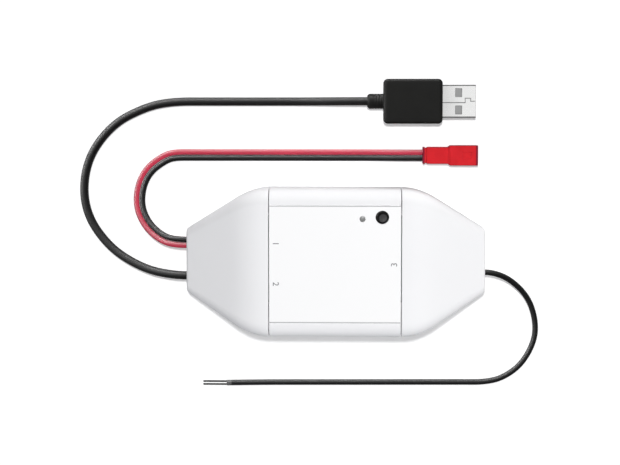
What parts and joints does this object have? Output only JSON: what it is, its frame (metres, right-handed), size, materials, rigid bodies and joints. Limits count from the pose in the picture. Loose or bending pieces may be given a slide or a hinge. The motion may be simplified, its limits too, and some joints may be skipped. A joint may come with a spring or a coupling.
{
  "type": "garage door controller",
  "caption": "White in-line garage door controller with tapered end covers, a recessed push button and captive power, sensor and signal cables.",
  "frame": {"origin": "centre of the housing's flat back, which lies on the surface", "axes": "+X along the housing towards the signal cable's end, +Y across it towards the power plug, +Z out of the face with the label and the button"},
  "size_m": [0.1697, 0.1138, 0.027],
  "materials": {
    "housing_white": "fine satin moulded",
    "label_film": "smooth film",
    "screw_steel": "zinc plated",
    "board_green": "solder mask",
    "button_black": "smooth moulded",
    "plunger_black": "moulded",
    "component_black": "moulded",
    "light_clear": "clear moulded",
    "shield_metal": "tin plated",
    "capacitor_can": "drawn can",
    "chip_ceramic": "fired",
    "header_white": "moulded",
    "clamp_grey": "moulded",
    "cable_black": "satin sheath",
    "lead_black": "satin insulation",
    "lead_red": "satin insulation",
    "signal_sheath": "matt sheath",
    "core_wire": "thin insulation",
    "usb_grip_black": "fine moulded",
    "usb_shell_metal": "nickel plated",
    "usb_tongue_plastic": "moulded",
    "contact_gold": "gold plated",
    "connector_red": "moulded"
  },
  "bodies": {
    "housing": {"base_tray": "housing_white", "center_cover": "housing_white", "left_end_cover": "housing_white", "right_end_cover": "housing_white", "label": "label_film", "case_screws": "screw_steel", "board_screws": "screw_steel", "clamp_screws": "screw_steel", "main_board": "board_green", "wireless_module": "board_green", "switch_body": "component_black", "output_relay": "component_black", "voltage_regulator": "component_black", "power_choke": "component_black", "light_pipe": "light_clear", "status_light": "light_clear", "module_shield": "shield_metal", "filter_capacitors": "capacitor_can", "chip_parts": "chip_ceramic", "power_header": "header_white", "sensor_header": "header_white", "signal_header": "header_white", "power_board_plug": "header_white", "sensor_board_plug": "header_white", "signal_board_plug": "header_white", "left_clamp": "clamp_grey", "right_clamp": "clamp_grey", "power_cable": "cable_black", "power_inner_end": "cable_black", "sensor_lead_black": "lead_black", "sensor_inner_end": "lead_black", "sensor_lead_red": "lead_red", "signal_cable": "signal_sheath", "signal_inner_end": "signal_sheath", "signal_core_upper": "core_wire", "signal_core_lower": "core_wire", "usb_grip": "usb_grip_black", "usb_shell": "usb_shell_metal", "usb_tongue": "usb_tongue_plastic", "usb_contacts": "contact_gold", "connector_terminals": "contact_gold", "connector_housing": "connector_red"},
    "button": {"button_cap": "button_black", "switch_plunger": "plunger_black"}
  },
  "joints": [
    {"name": "button_press", "type": "slide", "parent": "housing", "child": "button", "axis": [0, 0, -1], "range_m": [0, 0.0003], "stiffness_N_per_m": 3000, "springref_m": -0.0001}
  ]
}
